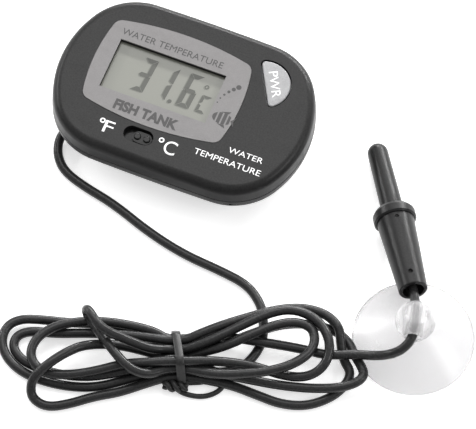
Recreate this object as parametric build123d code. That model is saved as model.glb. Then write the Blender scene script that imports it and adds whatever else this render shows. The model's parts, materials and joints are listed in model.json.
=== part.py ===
from build123d import *

# Digital aquarium thermometer with a sensor probe on a lead (millimetres, +Z up).
# The display unit lies on its back.  The origin is at the centre of its footprint, +X runs along
# its long side and +Y towards the top edge of the display.
from math import atan2, cos, hypot, pi, radians, sin, tan
import os

# ---------------------------------------------------------------- driving dimensions
# Housing outline: a rectangle with bowed sides and large corners, all of them arcs.
LENGTH = 62.0
WIDTH = 41.4
CORNER_R = 15.0
SIDE_R = 600.0
END_R = 26.5

RIM_Z = 6.4             # where the rear cover starts to slope in
PARTING_Z = 9.1         # joint between the two covers
FACE_Z = 13.8           # flat front face
BACK_INSET = 8.0        # how far the flat back stands inside the outline
SHOULDER_DRAFT = 0.45   # how far the front cover leans in over its height
SHOULDER_R = 2.2
WALL = 1.6
CEILING_Z = FACE_Z - WALL
EDGE_ROUND = 0.22       # soft edges each side of the parting line

# Display
WINDOW = (26.4, 13.2)
WINDOW_C = (-5.8, 1.35)
PLATE_C = (-4.85, 1.7)
PLATE_HALF = (16.9, 10.7)       # to the corners
PLATE_BULGE = (1.35, 2.0)       # how far the ends and the long sides bow out
PLATE_CORNER_R = 2.3
PLATE_DEPTH = 0.3
PLATE_THICK = 0.4
GLASS_X = (-21.0, 9.4)
GLASS_Y = (-6.9, 9.5)
LEDGE_Y = 11.9                  # the front glass reaches further, for its contacts
GLASS_THICK = 0.7
FILM_THICK = 0.2
DISPLAY_Z = 12.7

# Circuit board
BOARD_Z = 8.8
BOARD_THICK = 0.8
BOARD_TOP = BOARD_Z + BOARD_THICK
BOARD_INSET = 3.4
BOARD_X = (-26.0, 24.0)

# Push button, half a disc
BUTTON_C = (16.3, 9.3)
BUTTON_TURN = 28.8              # direction its round side faces, in degrees
BUTTON_R = 6.1
BUTTON_TRAVEL = 0.4
BUTTON_TOP = 13.78

# Unit switch
SWITCH_C = (-5.6, -13.9)
SLOT = (7.2, 3.9)
KNOB = (4.6, 2.9)
KNOB_OFFSET = 0.9               # rests towards the right end of its slot
KNOB_TRAVEL = 1.8

# Button cell and its door
CELL_C = (8.0, 0.0)
CELL_R = 5.8
CELL_Z = (2.6, 8.0)
DOOR_R = 9.0
DOOR_TURN = 45.0

# Fasteners
COVER_POSTS = [(-24.3, 5.5), (-16.0, -13.5), (25.0, -1.5), (19.0, -12.5)]
BOARD_POSTS = [(8.5, -13.0), (-23.8, -2.5), (20.0, -4.0)]
LEDGE_Z = 4.6                   # seat of the cover screws' heads
BOSS_TOP = 6.2

# Lead
CORD_R = 1.1
EXIT = (-24.0, -12.3, 2.35)
EXIT_TURN = (247.4, -6.8)       # direction seen from above and rise, in degrees
LEAD_ROUTE = [
    EXIT, (-25.0, -14.9, 1.95), (-25.1, -18.2, 1.45), (-23.8, -21.7, 1.13), (-20.9, -24.4, 1.12),
    (-16.3, -25.6, 1.13), (-8.0, -26.6, 1.12), (1.5, -29.8, 1.13), (11.0, -32.1, 1.12),
    (19.7, -32.8, 1.13), (27.3, -33.4, 1.14), (33.0, -36.4, 1.5), (35.9, -41.2, 2.2)]
TAIL_ROUTE = [
    (54.8, -44.6, 2.8), (59.4, -44.3, 3.2), (64.5, -43.9, 4.0), (67.9, -42.4, 6.2),
    (69.6, -39.9, 8.6), (69.9, -36.3, 10.35), (69.25, -32.05, 10.45), (67.45, -27.2, 10.03),
    (64.91, -23.12, 9.15)]

# Hank of spare lead, in its own directions: u along it, v across it
HANK_C = (21.1, -56.7)
HANK_TURN = 21.8
HANK_PLAN = [
    (-40.4, 2.5), (-36.5, 9.2), (-30.0, 11.2), (-18.0, 11.3), (-6.0, 7.2), (0.0, 5.9), (8.0, 7.3),
    (18.0, 11.6), (26.0, 12.6), (33.0, 10.2), (37.6, 5.0), (39.3, -2.0), (38.0, -8.6), (33.0, -12.8),
    (26.0, -13.6), (16.0, -11.2), (6.0, -8.4), (0.0, -7.2), (-8.0, -8.8), (-16.0, -11.4),
    (-22.0, -13.8), (-28.0, -14.2), (-33.5, -11.0), (-36.8, -5.6)]
HANK_CROWN = [(-42.0, 4.0), (-31.0, 6.2), (-20.0, 8.4), (0.0, 8.6), (15.0, 8.2), (30.0, 6.6), (43.0, 4.4)]
HANK_LIFT = 1.0                 # the tie passes under its waist
TIE_HALF = 0.9
TIE_THICK = 0.9

# Probe, from the open rear end of its sleeve to the tip
PROBE_REAR = (66.2, -25.2, 9.6)
PROBE_TURN = (122.2, -10.4)     # direction of its tip seen from above and rise, in degrees
SLEEVE_LENGTH = 19.4
SLEEVE_R = (3.3, 4.35)
SLEEVE_WALL = 0.8
SLEEVE_MOUTH = 2.5              # open depth behind the potting
COLLAR_R = 4.95
COLLAR_LENGTH = 3.0
TUBE_LENGTH = 19.6
TUBE_R = (2.62, 2.42)
TUBE_WALL = 0.7

# Suction cup
CUP_C = (69.35, -32.4)
CUP_R = 14.0
CUP_HOLE_Z = 10.5
CUP_HOLE_R = 2.0
CUP_HOLE_TURN = -78.0           # direction of the hole seen from above, in degrees
NUB_R = 4.6

CLEAR = 0.1
PLUNGER_TOP = BOARD_TOP + 1.6
parts = {}


# ---------------------------------------------------------------- shared shapes
def arc_box_corner(half_x, half_y, side_r, end_r, corner_r):
    """Centre of the arc that rounds the corner between the top side's arc and the end's arc."""
    side = (0.0, half_y - side_r)
    end = (half_x - end_r, 0.0)
    gap_x, gap_y = end[0] - side[0], end[1] - side[1]
    gap = hypot(gap_x, gap_y)
    to_side, to_end = side_r - corner_r, end_r - corner_r
    along = (gap * gap + to_side * to_side - to_end * to_end) / (2 * gap)
    off = (to_side * to_side - along * along) ** 0.5
    x = side[0] + (along * gap_x + off * gap_y) / gap
    y = side[1] + (along * gap_y - off * gap_x) / gap
    return x, y


def arc_box(half_x, half_y, side_r, end_r, corner_r, inset=0.0):
    """Face with four bowed sides and four round corners, moved in by an even distance."""
    corner = arc_box_corner(half_x, half_y, side_r, end_r, corner_r)
    side_c, end_c = half_y - side_r, half_x - end_r
    radius = corner_r - inset
    tilt_side = atan2(corner[1] - side_c, corner[0])
    tilt_end = atan2(corner[1], corner[0] - end_c)
    middle = (tilt_side + tilt_end) / 2

    def on_corner(angle):
        return corner[0] + radius * cos(angle), corner[1] + radius * sin(angle)

    top, right, mid = on_corner(tilt_side), on_corner(tilt_end), on_corner(middle)
    high, far = half_y - inset, half_x - inset

    def quarter(point, sign_x, sign_y):
        return point[0] * sign_x, point[1] * sign_y

    edges = []
    for sign_x, sign_y in ((1, 1), (-1, -1)):
        edges.append(ThreePointArc(quarter(top, -sign_x, sign_y), (0, high * sign_y),
                                   quarter(top, sign_x, sign_y)))
        edges.append(ThreePointArc(quarter(top, sign_x, sign_y), quarter(mid, sign_x, sign_y),
                                   quarter(right, sign_x, sign_y)))
        edges.append(ThreePointArc(quarter(right, sign_x, sign_y), (far * sign_x, 0),
                                   quarter(right, sign_x, -sign_y)))
        edges.append(ThreePointArc(quarter(right, sign_x, -sign_y), quarter(mid, sign_x, -sign_y),
                                   quarter(top, sign_x, -sign_y)))
    return make_face(Wire(edges))


def outline(inset, z):
    """The housing's outline, moved in by inset, at a height."""
    return Pos(0, 0, z) * arc_box(LENGTH / 2, WIDTH / 2, SIDE_R, END_R, CORNER_R, inset)


def slab(inset, low, high):
    """A plate of the housing's outline."""
    return extrude(outline(inset, low), high - low)


def sloped(inset_low, low, inset_high, high):
    """A block whose outline changes evenly from one inset to another."""
    return loft([outline(inset_low, low), outline(inset_high, high)], ruled=True)


def box(x0, x1, y0, y1, z0, z1):
    """A box given by its limits."""
    return Pos((x0 + x1) / 2, (y0 + y1) / 2, (z0 + z1) / 2) * Box(x1 - x0, y1 - y0, z1 - z0)


def rod(center, radius, low, high):
    """An upright cylinder."""
    return Pos(center[0], center[1], (low + high) / 2) * Cylinder(radius, high - low)


def stadium(center, length, width, low, high):
    """A bar with round ends along X."""
    flat = Pos(center[0], center[1], low) * SlotOverall(length, width)
    return extrude(flat, high - low)


def half_disc(grow, low, high, corner=0.9):
    """The button's half disc, grown all round."""
    radius = BUTTON_R + grow
    disc = Circle(radius) & Pos(radius / 2 - grow / 2 + 0.15, 0) * Rectangle(radius + grow, 2 * radius)
    disc = fillet(disc.vertices(), corner + grow)
    return extrude(Pos(BUTTON_C[0], BUTTON_C[1], low) * Rot(0, 0, BUTTON_TURN) * disc, high - low)


def heading(turn, rise):
    """Unit vector from its direction seen from above and its rise, in degrees."""
    turn, rise = radians(turn), radians(rise)
    return cos(turn) * cos(rise), sin(turn) * cos(rise), sin(rise)


def along(origin, direction, distance):
    """The point at a distance from an origin."""
    return tuple(o + d * distance for o, d in zip(origin, direction))


def axis_plane(origin, direction):
    """A plane whose Z runs along a direction."""
    return Plane(origin=origin, z_dir=direction)


EXIT_DIR = heading(*EXIT_TURN)
PROBE_DIR = heading(*PROBE_TURN)


def turned(profile, origin, direction):
    """A solid of revolution; the profile holds (radius, distance) points from the origin."""
    face = make_face(Polyline([(r, d) for r, d in profile], close=True))
    body = revolve(Plane.XZ * face, Axis.Z)
    return axis_plane(origin, direction) * body


def cord_tube(route, radius, name):
    """A round tube along straight runs joined by arcs as large as the runs allow."""
    points = [Vector(*point) for point in route]
    runs = [b - a for a, b in zip(points, points[1:])]
    radii = []
    for first, second in zip(runs, runs[1:]):
        turn = radians(first.get_angle(second))
        radii.append(0.45 * min(first.length, second.length) / tan(turn / 2))
    path = FilletPolyline(*points, radius=radii)
    start = Plane(origin=path @ 0, z_dir=path % 0)
    tube = sweep(start * Circle(radius), path=path)
    print(name, "radii", [round(value, 1) for value in radii], "length", round(path.length, 1),
          "volume ratio", round(tube.volume / (pi * radius ** 2 * path.length), 4))
    return tube


# ---------------------------------------------------------------- covers
def plate_face(grow):
    """The bowed display surround, grown all round."""
    half_x, half_y = PLATE_HALF[0] + PLATE_BULGE[0], PLATE_HALF[1] + PLATE_BULGE[1]
    side_r = (PLATE_HALF[0] ** 2 + PLATE_BULGE[1] ** 2) / (2 * PLATE_BULGE[1])
    end_r = (PLATE_HALF[1] ** 2 + PLATE_BULGE[0] ** 2) / (2 * PLATE_BULGE[0])
    return Pos(*PLATE_C) * arc_box(half_x, half_y, side_r, end_r, PLATE_CORNER_R, -grow)


def window(grow, low, high):
    """The display opening."""
    half_x, half_y = WINDOW[0] / 2 + grow, WINDOW[1] / 2 + grow
    x, y = WINDOW_C
    return box(x - half_x, x + half_x, y - half_y, y + half_y, low, high)


def front_cover():
    """Front shell with its window, button hole, switch slot, lip and screw posts."""
    outer = sloped(0.0, PARTING_Z, SHOULDER_DRAFT, FACE_Z)
    outer = fillet(outer.edges().group_by(Axis.Z)[-1], SHOULDER_R)
    outer = fillet(outer.edges().group_by(Axis.Z)[0], EDGE_ROUND)
    cover = outer - sloped(WALL, PARTING_Z, WALL + SHOULDER_DRAFT + 0.6, CEILING_Z)
    cover += slab(1.4, PARTING_Z + 0.4, PARTING_Z + 1.0) - slab(2.45, PARTING_Z, PARTING_Z + 2)
    cover += slab(1.75, PARTING_Z - 1.2, PARTING_Z + 0.6) - slab(2.45, PARTING_Z - 2, PARTING_Z + 2)
    for post in COVER_POSTS:
        cover += rod(post, 2.2, BOSS_TOP + CLEAR, CEILING_Z + 0.4)
    for post in BOARD_POSTS:
        cover += rod(post, 1.8, BOARD_TOP, CEILING_Z + 0.4)
    cover -= extrude(Pos(0, 0, FACE_Z - PLATE_DEPTH) * plate_face(0.08), 1)
    cover -= window(0.0, CEILING_Z - 1, FACE_Z + 1)
    cover -= box(GLASS_X[0] - 0.2, GLASS_X[1] + 0.2, GLASS_Y[0] - 0.2, LEDGE_Y + 0.2,
                 CEILING_Z - 0.5, DISPLAY_Z)
    cover -= half_disc(0.3, CEILING_Z - 1, FACE_Z + 1)
    cover -= stadium(SWITCH_C, *SLOT, CEILING_Z - 1, FACE_Z + 1)
    for post in COVER_POSTS:
        cover -= rod(post, 1.0, BOSS_TOP - 1, 11.6)
    for post in BOARD_POSTS:
        cover -= rod(post, 0.8, BOARD_TOP - 1, 11.9)
    return cover


def rear_shell_outer():
    """The rear cover's outer shape: a rim, then a slope in to the flat back."""
    solid = sloped(BACK_INSET, 0.0, 0.0, RIM_Z) + slab(0.0, RIM_Z, PARTING_Z)
    rim = [e for e in solid.edges() if abs(e.center().Z - RIM_Z) < 0.01 and abs(e @ 0.0 - e @ 1.0) > 0
           and abs((e @ 0.0).Z - RIM_Z) < 0.01 and abs((e @ 1.0).Z - RIM_Z) < 0.01]
    solid = fillet(rim, 3.0)
    solid = fillet(solid.edges().group_by(Axis.Z)[0], 1.5)
    return fillet(solid.edges().group_by(Axis.Z)[-1], EDGE_ROUND)


def rear_cover():
    """Rear shell with the cell's well, door opening, screw bosses and lead hole."""
    outer = rear_shell_outer()
    cavity = sloped(BACK_INSET + 1.1, WALL, 1.5, RIM_Z + 0.5) + slab(1.5, RIM_Z + 0.5, PARTING_Z + 1)
    cover = outer - cavity
    for post in COVER_POSTS:
        cover += rod(post, 2.9, 0.1, BOSS_TOP) & outer
    cover += Pos(*CELL_C, 0) * revolve(Plane.XZ * make_face(Polyline(
        [(9.7, WALL - 0.3), (10.9, WALL - 0.3), (10.9, 3.5), (7.3, 3.5), (7.3, 8.3), (6.1, 8.3),
         (6.1, 2.7), (9.7, 2.7)], close=True)), Axis.Z)
    cover -= rod(CELL_C, DOOR_R + 0.2, -1, 1.05)
    cover -= rod(CELL_C, 8.15, -1, WALL)
    for turn in (-DOOR_TURN, 180 - DOOR_TURN):
        cover -= door_lug(turn, 9.45, 21, -1, WALL + 0.01)
    cover -= box(CELL_C[0] + 5.0, CELL_C[0] + 6.4, -1.8, 1.8, 3.6, 9)
    for post in COVER_POSTS:
        cover -= rod(post, 2.1, -1, LEDGE_Z)
        cover -= rod(post, 1.15, -1, BOSS_TOP + 1)
    cover -= cord_hole()
    cover -= Pos(19.49, -20.3, 7.6) * Rot(90, 0, 0) * Cylinder(0.45, 2)
    return cover


def cord_hole():
    """The hole that holds the strain relief."""
    inner = along(EXIT, EXIT_DIR, -9.0)
    return axis_plane(inner, EXIT_DIR) * Pos(0, 0, 6.5) * Cylinder(1.9, 13)


# ---------------------------------------------------------------- display
def display():
    """Surround, glasses, films, frame and contact strip."""
    parts["faceplate"] = (extrude(Pos(0, 0, FACE_Z - PLATE_DEPTH) * plate_face(0.0), PLATE_THICK)
                          - window(0.0, FACE_Z - 1, FACE_Z + 1))
    z = DISPLAY_Z
    film_x = (GLASS_X[0] + 1.0, GLASS_X[1] - 1.0)
    film_y = (GLASS_Y[0] + 0.8, GLASS_Y[1] - 0.6)
    parts["display_front_film"] = box(*film_x, *film_y, z - FILM_THICK, z)
    z -= FILM_THICK
    parts["display_front_glass"] = box(*GLASS_X, GLASS_Y[0], LEDGE_Y, z - GLASS_THICK, z)
    z -= GLASS_THICK
    ledge_z = z
    parts["display_rear_glass"] = box(*GLASS_X, *GLASS_Y, z - GLASS_THICK, z)
    z -= GLASS_THICK
    parts["display_reflector"] = box(*film_x, *film_y, z - FILM_THICK, z)
    z -= FILM_THICK
    frame = box(GLASS_X[0] - 0.8, GLASS_X[1] + 0.8, GLASS_Y[0] - 0.8, GLASS_Y[1] - 0.1, BOARD_TOP, z)
    parts["display_frame"] = frame - box(film_x[0] + 1, film_x[1] - 1, film_y[0] + 1, film_y[1] - 1,
                                         BOARD_TOP - 1, z + 1)
    parts["contact_strip"] = box(film_x[0], film_x[1], GLASS_Y[1] + 0.4, LEDGE_Y - 0.2,
                                 BOARD_TOP, ledge_z)


# ---------------------------------------------------------------- electronics
def circuit_board():
    """Board cut to clear the screw posts."""
    board = slab(BOARD_INSET, BOARD_Z, BOARD_TOP) & box(*BOARD_X, -20, 20, 0, 20)
    for post in COVER_POSTS:
        board -= rod(post, 2.6, 0, 20)
    for post in BOARD_POSTS:
        board -= rod(post, 0.95, 0, 20)
    return board


def electronics():
    """What is soldered to the board."""
    parts["circuit_board"] = circuit_board()
    cap = Pos(-8.0, 1.4, BOARD_TOP - 7.9) * Sphere(9.0)
    parts["chip_cover"] = cap & box(-20, 10, -15, 15, BOARD_TOP, 20)
    crystal = Pos(14.0, -8.5, BOARD_TOP + 1.0) * Rot(0, 90, 0) * Cylinder(1.0, 6.0)
    parts["timing_crystal"] = crystal
    small = []
    for x, y in ((12.5, 0.6), (15.0, -1.6), (12.5, -3.4)):
        small.append(box(x - 1.0, x + 1.0, y - 0.6, y + 0.6, BOARD_TOP, BOARD_TOP + 0.8))
    parts["capacitors"] = Compound(children=small)
    small = []
    for x, y in ((-17.5, -9.5), (-14.5, -9.5), (2.5, -10.6), (14.5, -5.4)):
        small.append(box(x - 0.8, x + 0.8, y - 0.45, y + 0.45, BOARD_TOP, BOARD_TOP + 0.5))
    parts["resistors"] = Compound(children=small)


def button_cell():
    """Button cell and its two contacts."""
    x, y = CELL_C
    low, high = CELL_Z
    can = rod(CELL_C, CELL_R, low, high - 0.3) + rod(CELL_C, CELL_R - 0.9, high - 0.4, high)
    parts["button_cell"] = can
    leaf = Polyline([(x - 6.0, BOARD_Z), (x - 2.5, BOARD_Z), (x + 1.0, high + 0.2), (x + 3.5, high + 0.5),
                     (x + 3.5, high + 0.3), (x + 1.0, high), (x - 2.5, BOARD_Z - 0.2),
                     (x - 6.0, BOARD_Z - 0.2)], close=True)
    parts["negative_contact"] = extrude(Plane.XZ * make_face(leaf), 1.5, both=True)
    strip = box(x + CELL_R, x + CELL_R + 0.25, -1.5, 1.5, 3.8, BOARD_Z)
    foot = box(x + CELL_R, x + CELL_R + 3.4, -1.5, 1.5, BOARD_Z - 0.2, BOARD_Z)
    parts["positive_contact"] = strip + foot


# ---------------------------------------------------------------- controls
def power_button():
    """Half-disc cap on a wider flange, with a stem on the switch below."""
    cap = half_disc(0.0, CEILING_Z - 0.2, BUTTON_TOP)
    cap = fillet(cap.edges().group_by(Axis.Z)[-1], 0.3)
    cap += half_disc(0.7, CEILING_Z - 0.85, CEILING_Z - 0.05)
    stem_top = CEILING_Z - 0.8
    return cap + rod(switch_point(), 1.6, PLUNGER_TOP, stem_top)


def switch_point():
    """Centre of the push switch, under the middle of the half disc."""
    reach = BUTTON_R * 0.42
    return (BUTTON_C[0] + reach * cos(radians(BUTTON_TURN)), BUTTON_C[1] + reach * sin(radians(BUTTON_TURN)))


def push_switch():
    """Switch body on the board, and the plunger that the button pushes."""
    x, y = switch_point()
    body = box(x - 2.3, x + 2.3, y - 2.3, y + 2.3, BOARD_TOP, BOARD_TOP + 1.15)
    parts["push_switch_body"] = body - rod((x, y), 1.2, BOARD_TOP + 0.12, BOARD_TOP + 2)
    parts["push_switch_plunger"] = rod((x, y), 1.1, BOARD_TOP + 0.62, PLUNGER_TOP)


def slide_switch():
    """Slide switch on the board, its knob in the cover's slot and the contact that it carries."""
    x, y = SWITCH_C
    body = box(x - 4.5, x + 4.5, y - 2.0, y + 2.0, BOARD_TOP, BOARD_TOP + 2.0)
    body -= box(x - 4.0, x + 4.0, y - 1.5, y + 1.5, BOARD_TOP + 0.3, BOARD_TOP + 1.6)
    body -= box(x - 2.3, x + 2.3, y - 0.9, y + 0.9, BOARD_TOP + 1, BOARD_TOP + 3)
    parts["slide_switch_body"] = body
    knob_x = x + KNOB_OFFSET
    knob = stadium((knob_x, y), *KNOB, CEILING_Z - 0.3, FACE_Z - 0.7)
    knob += box(knob_x - 4.9, knob_x + 4.9, y - 2.3, y + 2.3, CEILING_Z - 0.5, CEILING_Z - 0.12)
    knob += box(knob_x - 1.0, knob_x + 1.0, y - 0.7, y + 0.7, BOARD_TOP + 0.95, CEILING_Z - 0.4)
    for side in (-1.15, 1.15):
        knob += Pos(knob_x + side, y, FACE_Z - 0.85) * Cylinder(0.85, 1.0)
    knob = fillet(knob.edges().group_by(Axis.Z)[-1], 0.3)
    parts["unit_switch_knob"] = knob
    parts["slide_switch_contact"] = box(knob_x - 1.5, knob_x + 1.5, y - 1.2, y + 1.2,
                                        BOARD_TOP + 0.65, BOARD_TOP + 0.95)


def door_lug(turn, radius, spread, low, high):
    """A sector of a ring, used for the door's lugs and for the notches that pass them."""
    start, end = radians(turn - spread), radians(turn + spread)
    middle = radians(turn)
    arc = ThreePointArc((radius * cos(start), radius * sin(start)), (radius * cos(middle), radius * sin(middle)),
                        (radius * cos(end), radius * sin(end)))
    rim = Polyline([(radius * cos(end), radius * sin(end)), (0, 0), (radius * cos(start), radius * sin(start))])
    face = make_face(Wire([arc, *rim.edges()]))
    return Pos(*CELL_C, low) * extrude(face, high - low)


def battery_door():
    """Round twist-off door with a coin slot and two lugs."""
    door = rod(CELL_C, DOOR_R, 0.2, 0.95) + rod(CELL_C, 7.95, 0.5, 2.4)
    for turn in (0, 180):
        door += door_lug(turn, 9.25, 14, WALL + 0.12, 2.4)
    door -= Pos(CELL_C[0], CELL_C[1], 0.5) * Box(10.5, 1.7, 0.9)
    return door


# ---------------------------------------------------------------- fasteners
def screw(center, head_r, shank_r, seat, tip, head_height):
    """Pan-head screw that points up, with a cross recess."""
    body = rod(center, head_r, seat - head_height, seat) + rod(center, shank_r, seat, tip)
    body = fillet(body.edges().group_by(Axis.Z)[0], 0.35)
    for length, width in ((head_r * 1.2, 0.5), (0.5, head_r * 1.2)):
        body -= Pos(center[0], center[1], seat - head_height) * Box(length, width, head_height)
    return body


def fasteners():
    """Screws that join the covers and screws that hold the board."""
    parts["cover_screws"] = Compound(children=[screw(p, 1.9, 1.0, LEDGE_Z, 11.0, 1.3) for p in COVER_POSTS])
    parts["board_screws"] = Compound(children=[screw(p, 1.5, 0.8, BOARD_Z, 11.6, 0.9) for p in BOARD_POSTS])


# ---------------------------------------------------------------- lead
def strain_relief():
    """Sleeve in the rear cover that tapers to the lead."""
    inner = along(EXIT, EXIT_DIR, -8.0)
    return turned([(0, 0), (1.9, 0), (1.9, 6.0), (1.35, 8.0), (0, 8.0)], inner, EXIT_DIR)


def lead_wires():
    """Two insulated wires from the strain relief to the board."""
    inner = along(EXIT, EXIT_DIR, -8.0)
    wires = []
    for side in (-0.6, 0.6):
        start = (inner[0] + side * EXIT_DIR[1], inner[1] - side * EXIT_DIR[0], inner[2])
        route = [start, along(start, EXIT_DIR, -2.2), (start[0] + 2.6, start[1] + 3.4, 5.6),
                 (start[0] + 2.9, start[1] + 4.0, BOARD_Z)]
        wires.append(cord_tube(route, 0.35, "wire"))
    return Compound(children=wires)


def hank_place(shape):
    """Moves a shape from the hank's own directions to its place."""
    return Pos(HANK_C[0], HANK_C[1], 0) * Rot(0, 0, HANK_TURN) * shape


def hank_body():
    """Outer shape of the tied hank, in its own directions."""
    plan = extrude(make_face(Spline(*HANK_PLAN, periodic=True)), 12)
    crown = Spline(*HANK_CROWN)
    first, last = HANK_CROWN[0], HANK_CROWN[-1]
    under = Polyline([last, (last[0], 0), (6.0, 0), (2.0, HANK_LIFT), (-2.0, HANK_LIFT), (-6.0, 0),
                      (first[0], 0), first])
    side = extrude(Plane.XZ * make_face(Wire([crown.edge(), *under.edges()])), 20, both=True)
    return plan & side


def hank():
    """The hank and the tie round its waist."""
    body = hank_body()
    parts["cord_hank"] = hank_place(body)
    ring = Pos(0, -0.65, 4.8) * Rot(0, 90, 0) * extrude(RectangleRounded(9.5, 14.9, 3.0), TIE_HALF, both=True)
    parts["hank_tie"] = hank_place(ring - body)


# ---------------------------------------------------------------- probe
def probe():
    """Sleeve, sensor tube with its collar, potting, thermistor and its leads."""
    rear, front = SLEEVE_R
    length = SLEEVE_LENGTH
    bore_rear, bore_front = rear - SLEEVE_WALL, front - SLEEVE_WALL
    sleeve = turned([(bore_rear, 0), (rear - 0.15, 0), (rear, 0.2), (front, length), (bore_front, length)],
                    PROBE_REAR, PROBE_DIR)
    across = Vector(*PROBE_DIR).cross(Vector(0, 0, 1)).normalized()
    top = across.cross(Vector(*PROBE_DIR)).normalized()
    for distance, radius in ((3.2, rear), (length - 1.3, front)):
        dimple = Vector(*along(PROBE_REAR, PROBE_DIR, distance)) + top * (radius + 0.1)
        sleeve -= Pos(dimple) * Sphere(0.55)
    parts["probe_sleeve"] = sleeve

    collar_at = along(PROBE_REAR, PROBE_DIR, length)
    base, tip = TUBE_R
    end = TUBE_LENGTH + COLLAR_LENGTH
    flange = COLLAR_LENGTH
    body = turned([(0, 0), (COLLAR_R - 0.35, 0), (COLLAR_R, 0.4), (COLLAR_R, flange - 0.9),
                   (COLLAR_R - 0.6, flange), (base, flange), (tip, end - tip), (0, end - tip)],
                  collar_at, PROBE_DIR)
    body += Pos(*along(collar_at, PROBE_DIR, end - tip)) * Sphere(tip)
    inner = tip - TUBE_WALL
    body -= turned([(0, -1), (bore_front - 1.2, -1), (bore_front - 1.2, 1.4), (inner, 2.6),
                    (inner, end - tip), (0, end - tip)], collar_at, PROBE_DIR)
    parts["probe_tube"] = body

    step = length - SLEEVE_MOUTH
    potting_at = along(PROBE_REAR, PROBE_DIR, SLEEVE_MOUTH)
    slope = (bore_front - bore_rear) / length
    parts["probe_potting"] = turned([(0, 0), (bore_rear + slope * SLEEVE_MOUTH, 0), (bore_front, step),
                                     (0, step)], potting_at, PROBE_DIR)
    bead = along(collar_at, PROBE_DIR, end - tip - 1.6)
    parts["thermistor"] = Pos(*bead) * Sphere(1.1)
    leads = []
    for side in (-0.45, 0.45):
        start = Vector(*collar_at) + across * side
        lead = axis_plane(tuple(start), PROBE_DIR) * Pos(0, 0, (end - tip - 2.7) / 2) * Cylinder(
            0.2, end - tip - 2.7)
        leads.append(lead)
    parts["thermistor_leads"] = Compound(children=leads)


def suction_cup():
    """Clear cup with a round nub that has a hole across it."""
    rim, throat = CUP_R, 3.6
    skirt = Spline((rim, 0.75), (10.6, 2.9), (6.4, 5.4), (throat, 6.9))
    nub_c = CUP_HOLE_Z
    neck_z = nub_c - (NUB_R ** 2 - throat ** 2) ** 0.5
    top_r = 2.4
    top_z = nub_c + (NUB_R ** 2 - top_r ** 2) ** 0.5
    head = ThreePointArc((throat, neck_z), (NUB_R, nub_c), (top_r, top_z))
    under = Spline((0, 3.7), (5.5, 3.0), (10.5, 1.1), (rim - 0.5, 0.0))
    face = make_face(Wire([
        skirt.edge(), Line((throat, 6.9), (throat, neck_z)).edge(), head.edge(),
        Line((top_r, top_z), (0, top_z)).edge(), Line((0, top_z), (0, 3.7)).edge(), under.edge(),
        Line((rim - 0.5, 0.0), (rim, 0.75)).edge()]))
    cup = Pos(*CUP_C, 0) * revolve(Plane.XZ * face, Axis.Z)
    turn = radians(CUP_HOLE_TURN)
    centre = (CUP_C[0], CUP_C[1], CUP_HOLE_Z)
    return cup - axis_plane(centre, (cos(turn), sin(turn), 0)) * Cylinder(CUP_HOLE_R, 4 * NUB_R)


# ---------------------------------------------------------------- build
def build():
    """Makes every sub-part and writes it."""
    parts["front_cover"] = front_cover()
    parts["rear_cover"] = rear_cover()
    display()
    electronics()
    button_cell()
    parts["power_button"] = power_button()
    push_switch()
    slide_switch()
    parts["battery_door"] = battery_door()
    fasteners()
    parts["strain_relief"] = strain_relief()
    parts["lead_wires"] = lead_wires()
    parts["cord_lead"] = cord_tube(LEAD_ROUTE, CORD_R, "lead")
    parts["cord_tail"] = cord_tube(TAIL_ROUTE, CORD_R, "tail")
    hank()
    probe()
    parts["suction_cup"] = suction_cup()
    os.makedirs("parts", exist_ok=True)
    for name, shape in parts.items():
        export_step(shape, f"parts/{name}.step")


build()
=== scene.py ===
"""Digital aquarium thermometer: a black display unit, its lead tied in a hank, a sensor probe and a cup.

Every size is in metres, in the frame of the loaded model: +X along the display unit, +Z out of it.
"""
import json
import math

import bmesh
import bpy
import numpy as np
from bpy.props import FloatProperty, FloatVectorProperty, IntProperty, PointerProperty
from mathutils import Matrix, Vector

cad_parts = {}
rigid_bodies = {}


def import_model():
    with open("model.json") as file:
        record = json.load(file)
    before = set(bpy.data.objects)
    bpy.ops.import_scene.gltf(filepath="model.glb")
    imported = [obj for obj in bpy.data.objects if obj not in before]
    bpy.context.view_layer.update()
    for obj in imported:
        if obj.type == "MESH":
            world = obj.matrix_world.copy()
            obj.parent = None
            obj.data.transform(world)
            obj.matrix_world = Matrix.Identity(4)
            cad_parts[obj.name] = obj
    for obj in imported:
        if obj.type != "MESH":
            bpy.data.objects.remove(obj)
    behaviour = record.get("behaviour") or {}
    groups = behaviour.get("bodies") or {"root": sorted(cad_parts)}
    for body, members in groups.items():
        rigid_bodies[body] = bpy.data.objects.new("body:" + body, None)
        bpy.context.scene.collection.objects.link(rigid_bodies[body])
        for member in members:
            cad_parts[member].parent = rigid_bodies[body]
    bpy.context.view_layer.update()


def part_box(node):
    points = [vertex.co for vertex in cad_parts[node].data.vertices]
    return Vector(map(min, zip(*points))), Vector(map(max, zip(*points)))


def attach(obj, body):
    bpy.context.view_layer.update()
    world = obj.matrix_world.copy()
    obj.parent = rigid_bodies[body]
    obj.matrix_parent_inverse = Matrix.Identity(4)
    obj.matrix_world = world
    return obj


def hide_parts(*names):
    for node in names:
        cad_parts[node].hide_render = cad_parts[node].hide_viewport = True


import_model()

bl_info = {
    "name": "Aquarium thermometer",
    "version": (1, 0, 0),
    "blender": (4, 5, 0),
    "location": "3D View > Sidebar > Thermometer",
    "description": "Finishes a digital aquarium thermometer, its lead, probe and suction cup",
    "category": "Add Mesh",
}

MM = 0.001
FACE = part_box("front_cover")[1][2]
PLATE_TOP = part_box("faceplate")[1][2]
FILM_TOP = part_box("display_front_film")[1][2]
BUTTON_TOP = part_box("power_button")[1][2]

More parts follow.
